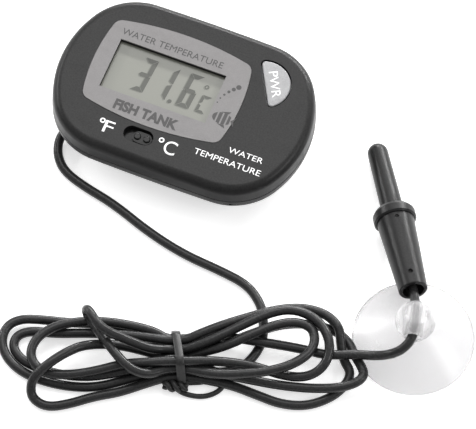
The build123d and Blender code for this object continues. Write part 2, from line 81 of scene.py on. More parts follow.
# ---------------------------------------------------------------- the lead
CORD_DIAMETER = 0.0022
LEAD_ROUTE = [
    (-0.0240, -0.0123, 0.00235), (-0.0249, -0.0144, 0.00195), (-0.0250, -0.0169, 0.00145),
    (-0.0238, -0.0200, 0.00113), (-0.0209, -0.0230, 0.00112), (-0.0153, -0.0249, 0.00113),
    (-0.0068, -0.0266, 0.00112), (0.0032, -0.0302, 0.00113), (0.0130, -0.0325, 0.00112),
    (0.0225, -0.0332, 0.00113), (0.0296, -0.0342, 0.00114), (0.0343, -0.0377, 0.00113),
    (0.0362, -0.0412, 0.00113)]
TAIL_ROUTE = [
    (0.0551, -0.0442, 0.00430), (0.0593, -0.0425, 0.00460), (0.0634, -0.0415, 0.00510),
    (0.0666, -0.0405, 0.00650), (0.0690, -0.0392, 0.00880), (0.0702, -0.0364, 0.01020),
    (0.06925, -0.03205, 0.01045), (0.06745, -0.0272, 0.01003), (0.06491, -0.02312, 0.00915)]

# The hank, in its own directions: along it, across it and up, from the middle of its waist.
HANK_CENTRE = Vector((0.0211, -0.0567, 0.0))
HANK_TURN = math.radians(21.8)
WAIST_HALF = 0.0022
# The passes through the tie in the order that the lead makes them, from the unit to the probe
WAIST_SLOTS = [
    (-0.0032, 0.0022), (0.0015, 0.0022), (-0.0020, 0.00425), (0.0026, 0.0043), (-0.0056, 0.0022),
    (-0.0009, 0.0022), (-0.0044, 0.0043), (0.0003, 0.00425), (-0.0034, 0.0063), (0.0038, 0.0022)]
# What the lead does between the passes, in millimetres: in, then round the left and right ends by
# turns, with one short fold on the left, whose tip is held
LEAD_IN = [(19.6, 4.6, 1.12), (18.0, 0.8, 1.12), (15.4, -2.3, 1.12), (11.6, -4.0, 1.2), (6.8, -3.9, 1.7)]
FOLD_TIP = [(-19.4, 7.1, 5.4), (-20.2, 8.3, 6.85), (-20.2, 8.3, 8.95), (-19.4, 7.1, 10.4)]
HANK_TURNS = [
    [(-6, -4.5, 1.8), (-12, -5.9, 1.2), (-18, -7.2, 1.15), (-24, -6.9, 1.15), (-30, -5.3, 1.3),
     (-34.5, -3.0, 1.5), (-37.8, 0.3, 1.8), (-39.3, 4.2, 2.2), (-38.3, 8.0, 2.6), (-35, 9.8, 2.8),
     (-30, 9.5, 3.0), (-24, 8.8, 3.0), (-17, 8.5, 3.0), (-11, 7.3, 2.8), (-5.5, 4.0, 2.4)],
    [(7, 3.0, 2.0), (13, 3.7, 1.8), (19, 5.2, 1.8), (25, 6.6, 2.0), (31, 6.9, 2.2), (36.5, 5.7, 2.4),
     (39.6, 3.0, 2.6), (40.9, -0.5, 3.0), (42.3, -3.1, 3.3), (42.9, -5.4, 3.4), (41.0, -7.3, 3.2),
     (36.5, -8.3, 2.8), (30, -8.1, 2.8), (23, -7.3, 2.8), (16, -6.2, 3.0), (9, -5.2, 3.4)],
    [(-7, -3.9, 3.8), (-13, -5.5, 3.2), (-20, -6.5, 3.2), (-27, -5.6, 3.2), (-32.5, -3.6, 3.3),
     (-35.6, -1.6, 3.4), (-37.4, 1.3, 3.6), (-36.6, 4.3, 4.0), (-33.2, 5.6, 4.4), (-27.5, 4.9, 4.6),
     (-21, 4.9, 4.7), (-14, 4.4, 4.8), (-8, 3.6, 4.7)],
    [(6, 3.8, 4.6), (11, 5.5, 4.8), (17, 7.6, 4.8), (23, 9.7, 4.6), (29, 10.3, 4.5), (34, 8.7, 4.6),
     (36.8, 5.6, 4.6), (37.0, 1.8, 3.8), (37.6, -1.4, 2.4), (39.2, -3.9, 2.0), (38.2, -6.5, 1.6),
     (35, -9.6, 1.2), (29.5, -11.8, 1.12), (23.5, -11.4, 1.12), (18, -9.1, 1.12), (12.5, -6.9, 1.3),
     (6.5, -5.8, 1.8)],
    [(-7, -5.8, 1.6), (-13, -7.4, 1.2), (-18.5, -8.4, 1.12), (-24, -10.3, 1.12), (-29, -11.2, 1.12),
     (-32.3, -9.3, 1.6), (-32.6, -6.8, 3.4), (-31.2, -5.1, 5.6), (-28, -2.8, 6.8), (-24.5, -0.4, 6.6),
     (-20.5, 1.8, 5.4), (-14, 2.2, 4.2), (-8, 1.0, 3.2)],
    [(6, 0.7, 3.0), (11, 1.8, 4.0), (17, 4.4, 5.0), (22.5, 6.9, 5.6), (27.5, 7.8, 6.0), (31.3, 6.4, 6.2),
     (32, 3.0, 6.4), (30.6, -0.2, 6.6), (27, -2.9, 6.8), (22, -4.7, 6.8), (16, -5.4, 6.4), (9, -5.4, 5.6)],
    [(-6, -5.9, 5.6), (-9.6, -5.4, 6.8), (-12.4, -3.0, 7.4), (-14.8, 0.2, 7.0), (-17.1, 3.7, 5.9),
     *FOLD_TIP, (-17.2, 3.4, 10.4), (-14.3, 2.2, 8.9), (-10, 0.9, 7.4), (-6, -0.2, 6.0)],
    [(6, 0.9, 5.6), (10.5, 2.6, 6.6), (16, 5.3, 7.4), (21.5, 7.9, 7.6), (26.5, 8.9, 7.6), (31, 7.5, 7.4),
     (34.2, 4.7, 7.2), (35.9, 0.8, 7.0), (35.6, -3.2, 6.4), (33.3, -6.2, 5.6), (29.5, -7.5, 4.8),
     (24.5, -6.6, 4.2), (19, -4.4, 4.2), (13, -3.6, 5.2), (7.5, -3.5, 6.0)],
    [(-7, -4.0, 6.0), (-12, -3.9, 5.4), (-18, -5.4, 5.0), (-24, -6.3, 5.0), (-29, -5.8, 5.0),
     (-32.2, -3.7, 5.0), (-33.1, -0.3, 5.0), (-31.2, 3.1, 5.2), (-27, 5.5, 5.4), (-21.5, 6.6, 5.4),
     (-15.5, 6.3, 5.4), (-9.5, 5.3, 4.6), (-5, 4.5, 3.2)],
    [(6, 3.9, 2.6), (12, 3.2, 3.2), (18, 2.3, 3.6), (24, 1.4, 3.8), (29, 0.4, 4.0), (33.3, -0.9, 4.3)]]

# How the loops sink onto each other: samples of each span, rounds, the share of them that sink, the
# drop in each, how strongly neighbours even out and places are kept, and how strands find each other
SETTLE_SAMPLES = 8
SETTLE_ROUNDS = 260
SETTLE_SINKING = 0.75
SETTLE_DROP = 0.00007
SETTLE_EVENING = 0.25
SETTLE_KEEPING = 0.997
SETTLE_PUSH = 1.5
SETTLE_SEARCH_EVERY = 6
SETTLE_SEARCH_WITHIN = 2.2
SETTLE_SAME_STRAND = 3.2
STRAND_GAP = 1.02 * CORD_DIAMETER

# ---------------------------------------------------------------- the tie
# A strap round the waist, a twist below it and a small loop that lies beside it
TIE_MIDDLE = 0.0005
TIE_SLANT = 0.13
TIE_WIDTH = 0.0021
TIE_THICK = 0.0008
TIE_GAP = 0.00004
TIE_STEPS = 96
TIE_SECTION = 10
TIE_WIRE_R = 0.00062
TWIST_START = (-0.0027, -0.0075, 0.0021)
TWIST_LENGTH = 0.0052
TWIST_R = 0.0009
TWIST_DROP = 0.0006
TWIST_TURNS = 1.6
TWIST_STEPS = 18
TIE_LOOP = [
    (-0.0010, -0.0071, 0.0016), (0.0006, -0.0086, 0.0012), (0.0030, -0.0094, 0.00075),
    (0.0060, -0.0098, 0.00072), (0.0088, -0.0090, 0.00072), (0.0106, -0.0074, 0.00075),
    (0.0108, -0.0056, 0.0008), (0.0090, -0.0052, 0.0010), (0.0064, -0.0064, 0.0013),
    (0.0036, -0.0068, 0.0018), (0.0010, -0.0070, 0.0022)]

# ---------------------------------------------------------------- prints and figures
INK_LIFT = 0.00003
# Words, centre, size, turn, boldness and what they are printed on
WORDS = [
    ("WATER TEMPERATURE", (-0.0069, 0.0101), (0.0252, 0.00165), 0.0, 0.0, "plate"),
    ("FISH TANK", (-0.00605, -0.00825), (0.0158, 0.0027), -0.01, 0.050, "plate"),
    ("WATER", (0.0192, -0.0095), (0.0084, 0.00140), 0.0, 0.0, "face"),
    ("TEMPERATURE", (0.0159, -0.01265), (0.0162, 0.00150), 0.0, 0.0, "face"),
    ("F", (-0.01278, -0.0144), (0.0023, 0.0031), 0.0, 0.0, "face"),
    ("C", (0.00240, -0.01415), (0.0029, 0.0035), 0.0, 0.0, "face"),
    ("PWR", (0.0186, 0.0101), (0.0068, 0.0021), math.radians(-61.6), 0.0, "button")]
DEGREE_RINGS = [(-0.0147, -0.0133), (-0.0002, -0.0130)]
DEGREE_RADII = (0.00066, 0.00034)
BUBBLE_TRAIL = [(0.0080, 0.0008), (0.0081, 0.0032), (0.0112, 0.0062)]
BUBBLE_RADII = (0.00018, 0.00062)
BUBBLES = 6
FISH_CENTRE = (0.0106, -0.0027)
FISH_SIZE = (0.0024, 0.0015)

# The figures: middle of each cell, its size and the segments that are on
FIGURE_SLANT = 0.062
FIGURE_STROKE = 0.00115
SMALL_FIGURE = 0.006
SMALL_STROKE = 0.62 * FIGURE_STROKE
SEGMENT_GAP = 0.00007
FIGURES = [
    ((-0.0106, 0.0017), (0.0032, 0.0090), "abcdg"),
    ((-0.00515, 0.0017), (0.0032, 0.0090), "bc"),
    ((0.00080, 0.0017), (0.0033, 0.0092), "acdefg"),
    ((0.00500, -0.0004), (0.0024, 0.0047), "adef")]
DISPLAY_DOT = (-0.0026, -0.0025)
DISPLAY_DOT_R = 0.00052
DISPLAY_DEGREE = (0.0041, 0.0041)
DISPLAY_DEGREE_RADII = (0.00056, 0.00030)
# Shift of the figures' painted shadow: paler copies of the segments where the figures would shade the
# reflector
SHADOW_SHIFT = (-0.00022, -0.00024)

# ---------------------------------------------------------------- battery door
DOOR_CENTRE = (0.008, 0.0)
DOOR_RIBS = 40
DOOR_RIB_RING = 0.0079
DOOR_RIB_LENGTH = 0.0010
DOOR_RIB_WIDTH = 0.00028
DOOR_RIB_LIFT = 0.00012

# ---------------------------------------------------------------- stage
# Lamps: place, size and share of the key power
LAMP_TARGET = Vector((0.02, -0.018, 0.0))
LAMPS = {
    "softbox": ((-0.16, 0.40, 0.90), (0.80, 0.50), 0.40),
    "back_strip": ((0.0, 0.95, 0.38), (1.1, 0.10), 1.60),
    "left_strip": ((-0.95, 0.20, 0.42), (0.6, 0.08), 0.40),
    "right_strip": ((0.85, 0.10, 0.60), (0.5, 0.06), 0.22)}
FLOOR_HALF = 3.0
CAMERA_AIM = Vector((0.020632, -0.017892, 0.0))
CAMERA_TURN = math.radians(21.834)
CAMERA_RISE = math.radians(64.181)
CAMERA_CLIP = (0.01, 10.0)
SENSOR = 36.0
FOCAL_LENGTH = 244.63

# ---------------------------------------------------------------- inside
# What the covers and the probe hold: node, finish, slot and body
INSIDE = {
    "display_reflector": ("reflector", "reflector_film", "housing"),
    "display_frame": ("frame", "frame_plastic", "housing"),
    "contact_strip": ("rubber", "contact_rubber", "housing"),
    "circuit_board": ("board", "board_laminate", "housing"),
    "chip_cover": ("resin", "chip_resin", "housing"),
    "timing_crystal": ("steel", "bright_steel", "housing"),
    "capacitors": ("ceramic", "ceramic", "housing"),
    "resistors": ("resin", "chip_resin", "housing"),
    "button_cell": ("steel", "bright_steel", "housing"),
    "negative_contact": ("brass", "spring_brass", "housing"),
    "positive_contact": ("brass", "spring_brass", "housing"),
    "push_switch_body": ("switch", "switch_plastic", "housing"),
    "push_switch_plunger": ("switch", "switch_plastic", "power_button"),
    "slide_switch_body": ("switch", "switch_plastic", "housing"),
    "slide_switch_contact": ("brass", "spring_brass", "unit_switch"),
    "lead_wires": ("wire", "wire_pvc", "housing"),
    "thermistor": ("resin", "thermistor_resin", "housing"),
    "thermistor_leads": ("steel", "bright_steel", "housing")}


# ================================================================ settings
def colour_setting(name, description, default):
    """A colour that a user may change."""
    return FloatVectorProperty(name=name, description=description, subtype="COLOR", size=3,
                               min=0, max=1, default=default)


class UnitSettings(bpy.types.PropertyGroup):
    """Colours and finishes of the display unit."""
    cover: colour_setting("Covers", "Colour of the moulded covers", (0.010, 0.010, 0.0105))
    surround: colour_setting("Surround", "Colour of the plate round the display", (0.162, 0.156, 0.156))
    display: colour_setting("Display", "Colour of the display's background", (0.162, 0.168, 0.142))
    segment: colour_setting("Segments", "Colour of the figures' dark segments", (0.060, 0.062, 0.052))
    button: colour_setting("Button", "Colour of the button's silver paint", (0.285, 0.285, 0.29))
    grain: FloatProperty(
        name="Grain", description="Size of the covers' moulded grain", unit="LENGTH",
        min=0.0001, max=0.002, default=0.00022, precision=5)


class LeadSettings(bpy.types.PropertyGroup):
    """Size and finish of the lead."""
    diameter: FloatProperty(
        name="Diameter", description="Outside diameter of the lead", unit="LENGTH",
        min=0.001, max=0.004, default=CORD_DIAMETER, precision=4)
    colour: colour_setting("Colour", "Colour of the lead's sheath", (0.008, 0.008, 0.0084))
    sides: IntProperty(
        name="Smoothness", description="How round the lead's section is", min=2, max=12, default=5)


class ProbeSettings(bpy.types.PropertyGroup):
    """Colours of the probe and the clear cup."""
    colour: colour_setting("Probe", "Colour of the probe's moulded plastic", (0.008, 0.008, 0.0086))
    cup: colour_setting("Cup", "Tint of the clear cup", (0.81, 0.805, 0.812))


class StageSettings(bpy.types.PropertyGroup):
    """Floor, lights and camera."""
    floor: colour_setting("Floor", "Colour of the floor", (0.93, 0.93, 0.93))
    glow: FloatProperty(
        name="Glow", description="Light that comes through the floor, as from a light table",
        min=0, max=2, default=0.55)
    horizon: FloatProperty(
        name="Horizon", description="Brightness of the surroundings at floor level",
        min=0, max=5, default=0.15)
    overhead: FloatProperty(
        name="Overhead", description="How much brighter the surroundings are straight above",
        min=0, max=5, default=0.50)
    key: FloatProperty(
        name="Key light", description="Power of the lights", unit="POWER",
        min=0, max=1000, default=10.0)
    distance: FloatProperty(
        name="Camera distance", description="How far off the camera stands", unit="LENGTH",
        min=0.2, max=5, default=0.7489)


# ================================================================ node helpers
def feed(tree, socket, value):
    """Links an input to another node's output, or sets it."""
    if isinstance(value, bpy.types.NodeSocket):
        tree.links.new(value, socket)
    else:
        socket.default_value = value


def add_node(tree, kind, **inputs):
    """A node with its inputs linked or set, an underscore standing for a space in their names."""
    node = tree.nodes.new(kind)
    for name, value in inputs.items():
        feed(tree, node.inputs[name.replace("_", " ")], value)
    return node


def maths(tree, operation, *values):
    """A Math node with its inputs linked or set."""
    node = tree.nodes.new("ShaderNodeMath")
    node.operation = operation
    for socket, value in zip(node.inputs, values):
        feed(tree, socket, value)
    return node.outputs[0]


def noise(tree, vector, scale, detail=3.0, rough=0.55):
    """A Noise texture on a vector."""
    return add_node(tree, "ShaderNodeTexNoise", Vector=vector, Scale=scale, Detail=detail,
                    Roughness=rough).outputs["Fac"]


def object_place(tree):
    """A point's place on its own object."""
    return tree.nodes.new("ShaderNodeTexCoord").outputs["Object"]


def blend_colours(tree, amount, first, second):
    """A colour between two colours."""
    node = tree.nodes.new("ShaderNodeMix")
    node.data_type = "RGBA"
    feed(tree, node.inputs[0], amount)
    for index, colour in ((6, first), (7, second)):
        linked = isinstance(colour, bpy.types.NodeSocket)
        feed(tree, node.inputs[index], colour if linked else (*colour[:3], 1))
    return node.outputs[2]


def tinted(tree, colour, factor):
    """A colour multiplied by a factor."""
    node = tree.nodes.new("ShaderNodeVectorMath")
    node.operation = "SCALE"
    node.inputs[0].default_value = colour[:3]
    tree.links.new(factor, node.inputs["Scale"])
    return node.outputs[0]


# ================================================================ shader groups
def new_group(name, inputs, outputs):
    """An empty shader group of plain numbers: the group, its given values and its results."""
    group = bpy.data.node_groups.new(name, "ShaderNodeTree")
    for socket, default in inputs.items():
        item = group.interface.new_socket(socket, in_out="INPUT", socket_type="NodeSocketFloat")
        item.default_value = default
    for socket in outputs:
        group.interface.new_socket(socket, in_out="OUTPUT", socket_type="NodeSocketFloat")
    return group, group.nodes.new("NodeGroupInput").outputs, group.nodes.new("NodeGroupOutput").inputs


def moulded_grain():
    """Height and tone of a fine grain, such as spark-eroded moulds leave."""
    group, given, out = new_group("Moulded grain", {"Scale": 4000.0, "Tone": 0.1}, ("Height", "Factor"))
    place = object_place(group)
    fine = noise(group, place, given["Scale"], 4.0, 0.6)
    broad = noise(group, place, 70.0, 2.0)
    swing = maths(group, "ADD", maths(group, "MULTIPLY", fine, 0.7), maths(group, "MULTIPLY", broad, 0.5))
    centred = maths(group, "SUBTRACT", swing, 0.6)
    feed(group, out["Height"], fine)
    feed(group, out["Factor"], maths(group, "MULTIPLY_ADD", centred, given["Tone"], 1.0))
    return group


def metal_flecks():
    """Tone and height of paint with fine metal flakes in it."""
    group, given, out = new_group("Metal flecks", {"Scale": 6000.0, "Contrast": 0.3}, ("Factor", "Height"))
    place = object_place(group)
    cells = add_node(group, "ShaderNodeTexVoronoi", Vector=place, Scale=given["Scale"])
    split = add_node(group, "ShaderNodeSeparateColor", Color=cells.outputs["Color"])
    flake = maths(group, "SUBTRACT", split.outputs[0], 0.5)
    soft = maths(group, "SUBTRACT", noise(group, place, 900.0, 3.0), 0.5)
    both = maths(group, "ADD", maths(group, "MULTIPLY", flake, 0.6), soft)
    feed(group, out["Factor"], maths(group, "MULTIPLY_ADD", both, given["Contrast"], 1.0))
    feed(group, out["Height"], split.outputs[1])
    return group


def handling_marks():
    """A mask of faint smears and scuffs, and of the dust that lies on faces that look up."""
    group, given, out = new_group("Handling marks", {"Scale": 120.0, "Amount": 0.2}, ("Mask", "Dust"))
    place = object_place(group)
    stretched = add_node(group, "ShaderNodeMapping", Vector=place, Rotation=(0.0, 0.0, 0.5),
                         Scale=(1.0, 2.6, 1.0))
    smear = noise(group, stretched.outputs[0], given["Scale"], 5.0, 0.7)
    band = add_node(group, "ShaderNodeMapRange", Value=smear, From_Min=0.50, From_Max=0.72)
    feed(group, out["Mask"], maths(group, "MULTIPLY", band.outputs[0], given["Amount"]))
    facing = add_node(group, "ShaderNodeSeparateXYZ",
                      Vector=group.nodes.new("ShaderNodeNewGeometry").outputs["Normal"])
    upward = maths(group, "MAXIMUM", facing.outputs["Z"], 0.0)
    specks = maths(group, "MULTIPLY", noise(group, place, 2600.0, 2.0), given["Amount"])
    feed(group, out["Dust"], maths(group, "MULTIPLY", upward, specks))
    return group


def add_group(tree, maker, **values):
    """A shared group in a material with its own values, made the first time that one asks for it."""
    title = maker.__name__.replace("_", " ").capitalize()
    node = tree.nodes.new("ShaderNodeGroup")
    node.node_tree = bpy.data.node_groups.get(title) or maker()
    for socket, value in values.items():
        node.inputs[socket].default_value = value
    return node.outputs


# ================================================================ materials
def surface(name, roughness, **plain):
    """A material with one Principled shader, whose plain numbers are set on its own sockets."""
    found = bpy.data.materials.new(name)
    found.use_nodes = True
    shader = found.node_tree.nodes["Principled BSDF"]
    for socket, value in {"Roughness": roughness, **plain}.items():
        shader.inputs[socket.replace("_", " ")].default_value = value
    return found, found.node_tree, shader.inputs


def bump(tree, skin, height, distance):
    """Raises a height on the skin's normal."""
    feed(tree, skin["Normal"], add_node(tree, "ShaderNodeBump", Strength=1.0, Distance=distance,
                                        Height=height).outputs[0])


def moulded_plastic(name, colour, roughness, scale, height, tone=0.25, dust=0.10, marks=0.10, **plain):
    """Moulded plastic: a fine grain, faint smears and a little dust."""
    found, tree, skin = surface(name, roughness, **plain)
    grain = add_group(tree, moulded_grain, Scale=scale, Tone=tone)
    worn = add_group(tree, handling_marks, Scale=110.0, Amount=marks)
    dusty = maths(tree, "MULTIPLY", worn["Dust"], dust / max(marks, 0.01))
    feed(tree, skin["Base Color"],
         blend_colours(tree, dusty, tinted(tree, colour, grain["Factor"]), (0.5, 0.49, 0.47)))
    feed(tree, skin["Roughness"], maths(tree, "ADD", maths(tree, "MULTIPLY", worn["Mask"], 1.2), roughness))
    bump(tree, skin, grain["Height"], height)
    return found


def flecked_paint(name, colour, roughness, metallic, scale, contrast, height, **plain):
    """Silver paint with fine flakes."""
    found, tree, skin = surface(name, roughness, Metallic=metallic, **plain)
    flecks = add_group(tree, metal_flecks, Scale=scale, Contrast=contrast)
    worn = add_group(tree, handling_marks, Scale=160.0, Amount=0.12)
    feed(tree, skin["Base Color"], tinted(tree, colour, flecks["Factor"]))
    feed(tree, skin["Roughness"], maths(tree, "ADD", worn["Mask"], roughness))
    bump(tree, skin, flecks["Height"], height)
    return found


def printed_ink(name, colour, roughness=0.5):
    """Ink with a slightly uneven coverage, for real print and for the painted shadow of the display's
    figures.
    """
    found, tree, skin = surface(name, roughness)
    grain = add_group(tree, moulded_grain, Scale=5200.0, Tone=0.10)
    feed(tree, skin["Base Color"], tinted(tree, colour, grain["Factor"]))
    bump(tree, skin, grain["Height"], 0.000004)
    return found


def soft_sheath(name, colour, roughness):
    """Soft satin sheath with faint drawing marks."""
    found, tree, skin = surface(name, roughness, IOR=1.34)
    grain = add_group(tree, moulded_grain, Scale=2600.0, Tone=0.25)
    worn = add_group(tree, handling_marks, Scale=240.0, Amount=0.14)
    feed(tree, skin["Base Color"],
         blend_colours(tree, worn["Dust"], tinted(tree, colour, grain["Factor"]), (0.30, 0.30, 0.30)))
    feed(tree, skin["Roughness"], maths(tree, "ADD", worn["Mask"], roughness))
    bump(tree, skin, grain["Height"], 0.000012)
    return found


def clear_plastic(name, tint, cloud=0.0, solid=0.75, roughness=0.04):
    """Clear soft plastic, cloudy by its share and more solid where it is seen edge on."""
    found, tree, skin = surface(name, roughness, Transmission_Weight=1.0 - cloud, IOR=1.45)
    place = object_place(tree)
    feed(tree, skin["Base Color"],
         blend_colours(tree, noise(tree, place, 160.0), tint, [c * 0.94 for c in tint]))
    feed(tree, skin["Roughness"], maths(tree, "MULTIPLY_ADD", noise(tree, place, 420.0), 0.10, roughness))
    edge = add_node(tree, "ShaderNodeLayerWeight", Blend=0.35).outputs["Facing"]
    feed(tree, skin["Alpha"], maths(tree, "MULTIPLY_ADD", edge, 1.0 - solid, solid))
    bump(tree, skin, noise(tree, place, 900.0), 0.000015)
    return found


def sheet_metal(name, colour, roughness):
    """Plain sheet or turned metal with a fine drawn grain."""
    found, tree, skin = surface(name, roughness, Metallic=1.0)
    grain = add_group(tree, moulded_grain, Scale=1500.0, Tone=0.3)
    worn = add_group(tree, handling_marks, Scale=300.0, Amount=0.2)
    feed(tree, skin["Base Color"], tinted(tree, colour, grain["Factor"]))
    feed(tree, skin["Roughness"], maths(tree, "ADD", worn["Mask"], roughness))
    bump(tree, skin, grain["Height"], 0.000008)
    return found


def banded_paint(name, ground, band, width, roughness):
    """A ground colour with bands of another, such as tracks or contact strips."""
    found, tree, skin = surface(name, roughness)
    wave = add_node(tree, "ShaderNodeTexWave", Vector=object_place(tree), Scale=1.0 / width,
                    Distortion=0.5)
    sharp = add_node(tree, "ShaderNodeMapRange", Value=wave.outputs["Fac"], From_Min=0.62,
                     From_Max=0.72).outputs[0]
    feed(tree, skin["Base Color"], blend_colours(tree, sharp, ground, band))
    bump(tree, skin, sharp, 0.00003)
    return found


# ================================================================ mesh helpers
def finished(name, mesh, body, slot, *finishes):
    """A new piece from a mesh that is already in its place."""
    piece = bpy.data.objects.new(name, mesh)
    bpy.context.scene.collection.objects.link(piece)
    mesh.materials.clear()
    for finish in finishes:
        mesh.materials.append(finish)
    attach(piece, body)
    return piece


def smooth(mesh, angle):
    """Smooth shading with creases where faces turn sharply."""
    mesh.polygons.foreach_set("use_smooth", [True] * len(mesh.polygons))
    mesh.set_sharp_from_angle(angle=math.radians(angle))


def shown_mesh(name, data, prepare=None):
    """The mesh that an object with this data shows, once it has been prepared."""
    host = bpy.data.objects.new(name + ".source", data)
    bpy.context.scene.collection.objects.link(host)
    if prepare:
        prepare(host)
    bpy.context.view_layer.update()
    shown = host.evaluated_get(bpy.context.evaluated_depsgraph_get())
    mesh = bpy.data.meshes.new_from_object(shown)
    bpy.data.batch_remove([host, data])
    mesh.name = name
    return mesh


def lean_normals(host):
    """Leans an object's normals to its large faces, so that flat faces stay flat."""
    lean = host.modifiers.new("Weighted normals", "WEIGHTED_NORMAL")
    lean.keep_sharp = True
    lean.weight = 80


def node_copy(node, name, body, slot, finish, angle=32.0):
    """A joined and smooth-shaded copy of a node that stands for it."""
    work = bmesh.new()
    work.from_mesh(bpy.data.objects[node].data)
    bmesh.ops.remove_doubles(work, verts=work.verts, dist=1e-7)
    mesh = saved(name, work)
    if mesh.has_custom_normals:
        mesh.attributes.remove(mesh.attributes["custom_normal"])
    smooth(mesh, angle)
    piece = finished(name, shown_mesh(name, mesh, lean_normals), body, slot, finish)
    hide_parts(node)


def saved(name, work):
    """A mesh from a finished working mesh."""
    mesh = bpy.data.meshes.new(name)
    work.to_mesh(mesh)
    work.free()
    return mesh


def plate_from_outlines(name, outlines, z, thickness):
    """Flat raised shapes from closed outlines, as one mesh."""
    work = bmesh.new()
    for outline in outlines:
        base = [work.verts.new((x, y, z)) for x, y in outline]
        face = work.faces.new(base)
        face.normal_update()
        if face.normal.z < 0:
            face.normal_flip()
        grown = bmesh.ops.extrude_face_region(work, geom=[face])
        bmesh.ops.translate(
            work, verts=[v for v in grown["geom"] if isinstance(v, bmesh.types.BMVert)],
            vec=(0, 0, thickness))
    bmesh.ops.recalc_face_normals(work, faces=work.faces)
    return saved(name, work)


def round_point(centre, radius, turn):
    """A point at a turn round a centre."""
    return centre[0] + radius * math.cos(turn), centre[1] + radius * math.sin(turn)


def ring_outline(centre, radii, steps=32):
    """A flat ring as four-sided cells, each one a closed outline."""
    outer, inner = radii
    turns = [2 * math.pi * k / steps for k in range(steps + 1)]
    return [[round_point(centre, *corner) for corner in ((inner, a), (outer, a), (outer, b), (inner, b))]
            for a, b in zip(turns, turns[1:])]


def disc_outline(centre, radius, steps):
    """A round closed outline."""
    return [round_point(centre, radius, 2 * math.pi * k / steps) for k in range(steps)]


def text_mesh(words, centre, size, turn, bold, lift):
    """Raised lettering that fills a box of the given centre and size, turned about its centre."""
    curve = bpy.data.curves.new(words, "FONT")
    curve.body = words
    curve.offset = bold
    curve.resolution_u = 6
    curve.extrude = 0.5
    mesh = shown_mesh(words, curve)
    points = np.array([v.co for v in mesh.vertices])
    low, high = points.min(axis=0), points.max(axis=0)
    fit = Matrix.Diagonal((size[0] / (high[0] - low[0]), size[1] / (high[1] - low[1]),
                           INK_LIFT / (high[2] - low[2]), 1))
    middle = Matrix.Translation((-(low[0] + high[0]) / 2, -(low[1] + high[1]) / 2, -low[2]))
    mesh.transform(Matrix.Translation((*centre, lift)) @ Matrix.Rotation(turn, 4, "Z") @ fit @ middle)
    work = bmesh.new()
    work.from_mesh(mesh)
    bmesh.ops.remove_doubles(work, verts=work.verts, dist=1e-7)
    bmesh.ops.recalc_face_normals(work, faces=work.faces)
    work.to_mesh(mesh)
    work.free()
    return mesh


def joined(name, meshes):
    """Several meshes as one."""
    work = bmesh.new()
    for mesh in meshes:
        work.from_mesh(mesh)
        bpy.data.meshes.remove(mesh)
    return saved(name, work)


# ================================================================ the lead's path
def in_hank(point):
    """A point of the hank's own directions in the frame."""
    u, v, z = point
    return (HANK_CENTRE.x + u * math.cos(HANK_TURN) - v * math.sin(HANK_TURN),
            HANK_CENTRE.y + u * math.sin(HANK_TURN) + v * math.cos(HANK_TURN), z)


def hank_points():
    """The hank's turns from the lead's last point to the tail's first, and which of them are held."""
    points, held = [[c * MM for c in p] for p in LEAD_IN], [False] * len(LEAD_IN)
    for index, (turn, slot) in enumerate(zip(HANK_TURNS, WAIST_SLOTS)):
        ahead = WAIST_HALF if index % 2 else -WAIST_HALF
        points += [(-ahead, *slot), (ahead, *slot)] + [[c * MM for c in p] for p in turn]
        held += [True, True] + [p in FOLD_TIP for p in turn]
    return [in_hank(p) for p in points], held


def settle(points, held, gap):
    """Lets the loops sink onto each other and the floor, with strands no nearer than gap."""
    points = np.array(points)
    start, free = points.copy(), ~np.array(held)
    shares = (np.arange(SETTLE_SAMPLES) + 0.5) / SETTLE_SAMPLES
    weights = np.stack([(1 - shares) ** 2 / 2, 0.5 + shares - shares ** 2, shares ** 2 / 2], axis=1)
    spans = np.arange(len(points) - 2)[:, None] + np.arange(3)
    owners = np.repeat(spans, SETTLE_SAMPLES, axis=0)
    parts = np.tile(weights, (len(spans), 1))
    first = second = np.zeros(0, int)
    for turn in range(SETTLE_ROUNDS):
        if turn <= SETTLE_SINKING * SETTLE_ROUNDS:
            points[free, 2] -= SETTLE_DROP
        moved = points - start
        middle = (moved[:-2] + moved[2:]) / 2
        moved[1:-1] += SETTLE_EVENING * (middle - moved[1:-1]) * free[1:-1, None]
        moved[:, :2] *= SETTLE_KEEPING
        points = np.where(free[:, None], start + moved, points)
        line = (points[owners] * parts[:, :, None]).sum(axis=1)
        if turn % SETTLE_SEARCH_EVERY == 0:
            along = np.concatenate([[0], np.cumsum(np.linalg.norm(np.diff(line, axis=0), axis=1))])
            spread = np.linalg.norm(line[:, None] - line[None], axis=2)
            far = np.abs(along[:, None] - along[None]) > SETTLE_SAME_STRAND * gap
            first, second = np.nonzero(np.triu((spread < SETTLE_SEARCH_WITHIN * gap) & far))
        apart = line[first] - line[second]
        size = np.linalg.norm(apart, axis=1)
        close = size < gap
        push = apart[close] / size[close, None] * ((gap - size[close]) * 0.5)[:, None]
        shift, count = np.zeros_like(points), np.full(len(points), 1e-9)
        for index, sign in ((first[close], 1), (second[close], -1)):
            for k in range(3):
                np.add.at(shift, owners[index, k], sign * push * parts[index, k][:, None])
                np.add.at(count, owners[index, k], parts[index, k] ** 2)
        points[free] += SETTLE_PUSH * (shift / np.maximum(count, 1.0)[:, None])[free]
        points[free, 2] = np.maximum(points[free, 2], gap / 2)
    return [tuple(p) for p in points]


def lead_points():
    """The control points of the whole lead, from the unit to the probe."""
    loops, held = hank_points()
    held = [True] * len(LEAD_ROUTE) + held + [True] * len(TAIL_ROUTE)
    return settle(LEAD_ROUTE + loops + TAIL_ROUTE, held, STRAND_GAP)


